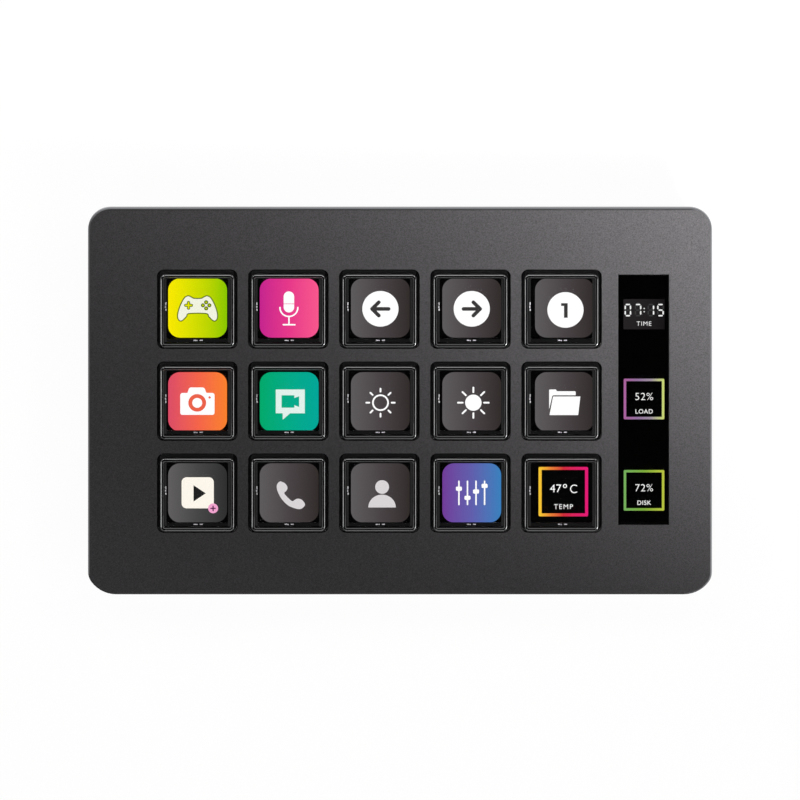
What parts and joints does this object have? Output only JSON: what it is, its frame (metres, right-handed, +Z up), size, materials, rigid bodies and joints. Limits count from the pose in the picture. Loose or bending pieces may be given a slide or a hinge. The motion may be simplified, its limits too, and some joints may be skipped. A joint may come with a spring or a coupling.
{
  "type": "display macro keypad",
  "caption": "Desk keypad: clear push keys and a status window over one display panel, in an aluminium-topped case with a fold-out stand.",
  "frame": {"origin": "middle of the footprint, on the surface that the four feet stand on", "axes": "+Z up through the keys, +X to the right, +Y to the rear, where the cable socket is"},
  "size_m": [0.175, 0.1102, 0.0272],
  "materials": {
    "plate_aluminium": "bead-blasted sheet, anodised dark grey, with a bright cut chamfer",
    "window_acrylic": "smoked acrylic, polished",
    "key_acrylic": "clear acrylic, polished",
    "key_abs": "black ABS, moulded to a gloss",
    "guide_abs": "black ABS",
    "silicone": "translucent grey silicone",
    "gasket_foam": "black closed-cell foam",
    "board_laminate": "glass-epoxy laminate with green solder mask",
    "panel_glass": "liquid-crystal cell with a polariser, dark when off",
    "light_guide": "white diffuser and light guide",
    "tray_steel": "folded steel sheet",
    "socket_steel": "drawn stainless shell",
    "contact_plastic": "black liquid-crystal polymer",
    "ribbon_film": "amber polyimide film",
    "base_abs": "black ABS with a fine moulded texture",
    "screw_steel": "steel, black zinc plated",
    "pin_steel": "ground steel",
    "grip_rubber": "black thermoplastic rubber"
  },
  "bodies": {
    "case": {"face_plate": "plate_aluminium", "status_window": "window_acrylic", "window_gasket": "gasket_foam", "key_guide": "guide_abs", "dome_mat": "silicone", "contact_board": "board_laminate", "display_glass": "panel_glass", "backlight": "light_guide", "panel_tray": "tray_steel", "panel_bracket": "tray_steel", "main_board": "board_laminate", "board_chips": "contact_plastic", "ribbon_connectors": "contact_plastic", "display_ribbon": "ribbon_film", "matrix_ribbon": "ribbon_film", "socket_shell": "socket_steel", "socket_tongue": "contact_plastic", "base_shell": "base_abs", "case_screws": "screw_steel", "board_screws": "screw_steel", "stand_pins": "pin_steel", "foot_front_left": "grip_rubber", "foot_front_right": "grip_rubber", "foot_rear_left": "grip_rubber", "foot_rear_right": "grip_rubber"},
    "key_1": {"key_frame_1": "key_abs", "key_lens_1": "key_acrylic"},
    "key_2": {"key_frame_2": "key_abs", "key_lens_2": "key_acrylic"},
    "key_3": {"key_frame_3": "key_abs", "key_lens_3": "key_acrylic"},
    "key_4": {"key_frame_4": "key_abs", "key_lens_4": "key_acrylic"},
    "key_5": {"key_frame_5": "key_abs", "key_lens_5": "key_acrylic"},
    "key_6": {"key_frame_6": "key_abs", "key_lens_6": "key_acrylic"},
    "key_7": {"key_frame_7": "key_abs", "key_lens_7": "key_acrylic"},
    "key_8": {"key_frame_8": "key_abs", "key_lens_8": "key_acrylic"},
    "key_9": {"key_frame_9": "key_abs", "key_lens_9": "key_acrylic"},
    "key_10": {"key_frame_10": "key_abs", "key_lens_10": "key_acrylic"},
    "key_11": {"key_frame_11": "key_abs", "key_lens_11": "key_acrylic"},
    "key_12": {"key_frame_12": "key_abs", "key_lens_12": "key_acrylic"},
    "key_13": {"key_frame_13": "key_abs", "key_lens_13": "key_acrylic"},
    "key_14": {"key_frame_14": "key_abs", "key_lens_14": "key_acrylic"},
    "key_15": {"key_frame_15": "key_abs", "key_lens_15": "key_acrylic"},
    "stand": {"stand_leg": "base_abs", "stand_grip": "grip_rubber"}
  },
  "joints": [
    {"name": "key_1_press", "type": "slide", "parent": "case", "child": "key_1", "axis": [0, 0, -1], "range_m": [0, 0.0014], "stiffness_N_per_m": 350, "springref_m": -0.0006, "deforming": ["dome_mat"]},
    {"name": "key_2_press", "type": "slide", "parent": "case", "child": "key_2", "axis": [0, 0, -1], "range_m": [0, 0.0014], "stiffness_N_per_m": 350, "springref_m": -0.0006, "deforming": ["dome_mat"]},
    {"name": "key_3_press", "type": "slide", "parent": "case", "child": "key_3", "axis": [0, 0, -1], "range_m": [0, 0.0014], "stiffness_N_per_m": 350, "springref_m": -0.0006, "deforming": ["dome_mat"]},
    {"name": "key_4_press", "type": "slide", "parent": "case", "child": "key_4", "axis": [0, 0, -1], "range_m": [0, 0.0014], "stiffness_N_per_m": 350, "springref_m": -0.0006, "deforming": ["dome_mat"]},
    {"name": "key_5_press", "type": "slide", "parent": "case", "child": "key_5", "axis": [0, 0, -1], "range_m": [0, 0.0014], "stiffness_N_per_m": 350, "springref_m": -0.0006, "deforming": ["dome_mat"]},
    {"name": "key_6_press", "type": "slide", "parent": "case", "child": "key_6", "axis": [0, 0, -1], "range_m": [0, 0.0014], "stiffness_N_per_m": 350, "springref_m": -0.0006, "deforming": ["dome_mat"]},
    {"name": "key_7_press", "type": "slide", "parent": "case", "child": "key_7", "axis": [0, 0, -1], "range_m": [0, 0.0014], "stiffness_N_per_m": 350, "springref_m": -0.0006, "deforming": ["dome_mat"]},
    {"name": "key_8_press", "type": "slide", "parent": "case", "child": "key_8", "axis": [0, 0, -1], "range_m": [0, 0.0014], "stiffness_N_per_m": 350, "springref_m": -0.0006, "deforming": ["dome_mat"]},
    {"name": "key_9_press", "type": "slide", "parent": "case", "child": "key_9", "axis": [0, 0, -1], "range_m": [0, 0.0014], "stiffness_N_per_m": 350, "springref_m": -0.0006, "deforming": ["dome_mat"]},
    {"name": "key_10_press", "type": "slide", "parent": "case", "child": "key_10", "axis": [0, 0, -1], "range_m": [0, 0.0014], "stiffness_N_per_m": 350, "springref_m": -0.0006, "deforming": ["dome_mat"]},
    {"name": "key_11_press", "type": "slide", "parent": "case", "child": "key_11", "axis": [0, 0, -1], "range_m": [0, 0.0014], "stiffness_N_per_m": 350, "springref_m": -0.0006, "deforming": ["dome_mat"]},
    {"name": "key_12_press", "type": "slide", "parent": "case", "child": "key_12", "axis": [0, 0, -1], "range_m": [0, 0.0014], "stiffness_N_per_m": 350, "springref_m": -0.0006, "deforming": ["dome_mat"]},
    {"name": "key_13_press", "type": "slide", "parent": "case", "child": "key_13", "axis": [0, 0, -1], "range_m": [0, 0.0014], "stiffness_N_per_m": 350, "springref_m": -0.0006, "deforming": ["dome_mat"]},
    {"name": "key_14_press", "type": "slide", "parent": "case", "child": "key_14", "axis": [0, 0, -1], "range_m": [0, 0.0014], "stiffness_N_per_m": 350, "springref_m": -0.0006, "deforming": ["dome_mat"]},
    {"name": "key_15_press", "type": "slide", "parent": "case", "child": "key_15", "axis": [0, 0, -1], "range_m": [0, 0.0014], "stiffness_N_per_m": 350, "springref_m": -0.0006, "deforming": ["dome_mat"]},
    {"name": "stand_hinge", "type": "hinge", "parent": "case", "child": "stand", "pos_m": [0, 0.03671, 0.004], "axis": [1, 0, 0], "range_deg": [0, 70]}
  ]
}
